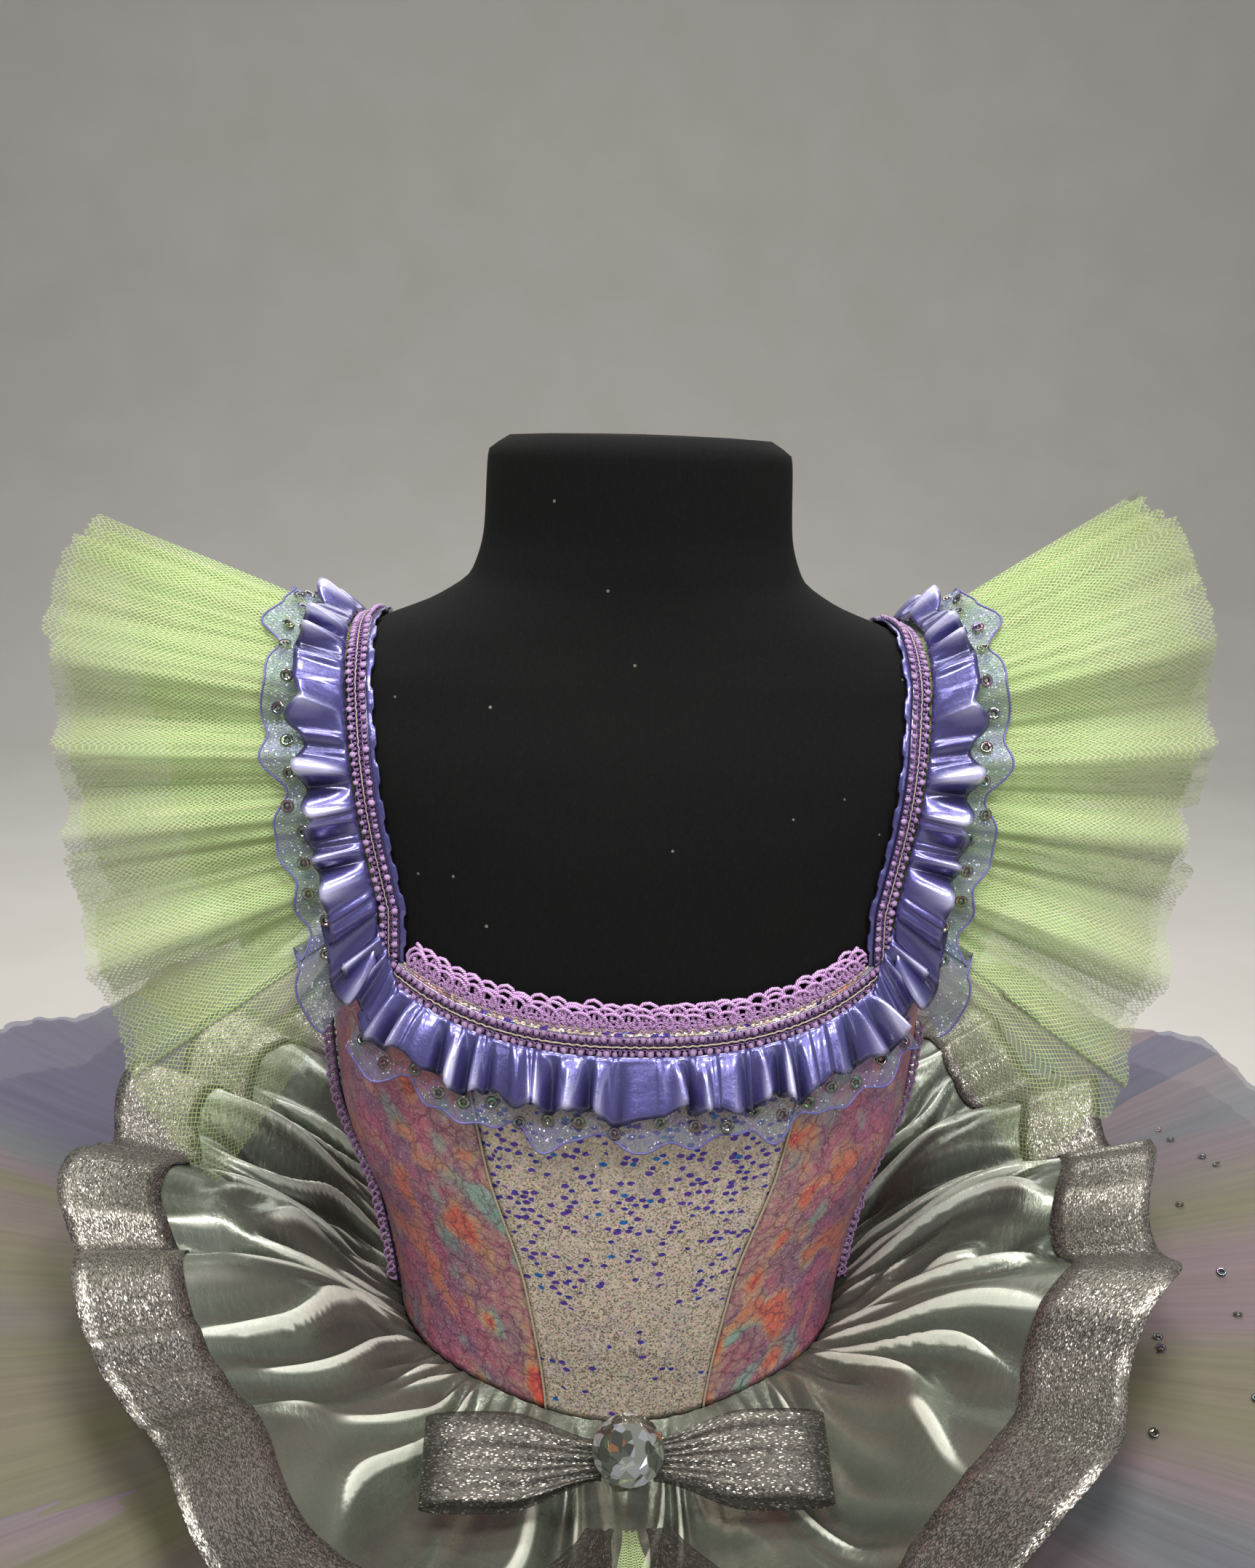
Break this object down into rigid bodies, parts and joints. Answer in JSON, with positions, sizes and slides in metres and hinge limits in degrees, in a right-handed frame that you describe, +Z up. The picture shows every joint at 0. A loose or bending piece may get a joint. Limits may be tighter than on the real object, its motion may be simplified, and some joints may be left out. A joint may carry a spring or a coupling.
{
  "type": "tutu dress on dress form",
  "caption": "Child's stage tutu dress with a fitted glitter bodice, frilled net shoulders and a flat layered skirt, standing on a limbless dress form.",
  "frame": {"origin": "centre of the underside of the dress form's base, on the surface it stands on", "axes": "+Z up; the wearer's front faces -Y and the wearer's left side is +X"},
  "size_m": [0.7, 0.7, 0.564],
  "materials": {
    "jersey": "matt black knitted jersey",
    "base": "matt black plastic",
    "pearl": "pearl cream fabric with fine glitter",
    "bubble": "mauve and coral stretch fabric with glitter",
    "satin": "glossy violet satin",
    "organza": "sheer grey violet organza with sequins",
    "braid": "lilac and cream looped braid",
    "lace": "lilac loop lace",
    "net": "pale green net",
    "sage_satin": "glossy sage satin",
    "silver": "silver glitter ribbon",
    "tulle": "sheer mauve, green and blue tulle",
    "gem": "clear faceted acrylic with a foil back"
  },
  "bodies": {
    "root": {"dress_form": "jersey", "form_base": "base", "bodice_front_centre": "pearl", "bodice_side_front_left": "bubble", "bodice_side_front_right": "bubble", "bodice_back_left": "bubble", "bodice_back_right": "bubble", "back_placket": "bubble", "side_braid_left": "braid", "side_braid_right": "braid", "neck_braid_front": "braid", "neck_braid_back": "braid", "strap_braid_left": "braid", "strap_braid_right": "braid", "neck_lace_front": "lace", "neck_lace_back": "lace", "shoulder_strap_left": "satin", "shoulder_strap_right": "satin", "satin_frill_left": "satin", "satin_frill_right": "satin", "satin_frill_front": "satin", "satin_frill_back": "satin", "organza_frill_left": "organza", "organza_frill_right": "organza", "organza_frill_front": "organza", "organza_frill_back": "organza", "net_wing_left": "net", "net_wing_right": "net", "bow_tail_net": "net", "satin_overskirt": "sage_satin", "ribbon_hem": "silver", "bow_loop_left": "silver", "bow_loop_right": "silver", "bow_tail_left": "silver", "bow_tail_right": "silver", "bow_knot": "silver", "tutu_tier_1": "tulle", "tutu_tier_2": "tulle", "tutu_tier_3": "tulle", "bow_gem": "gem"}
  },
  "joints": []
}
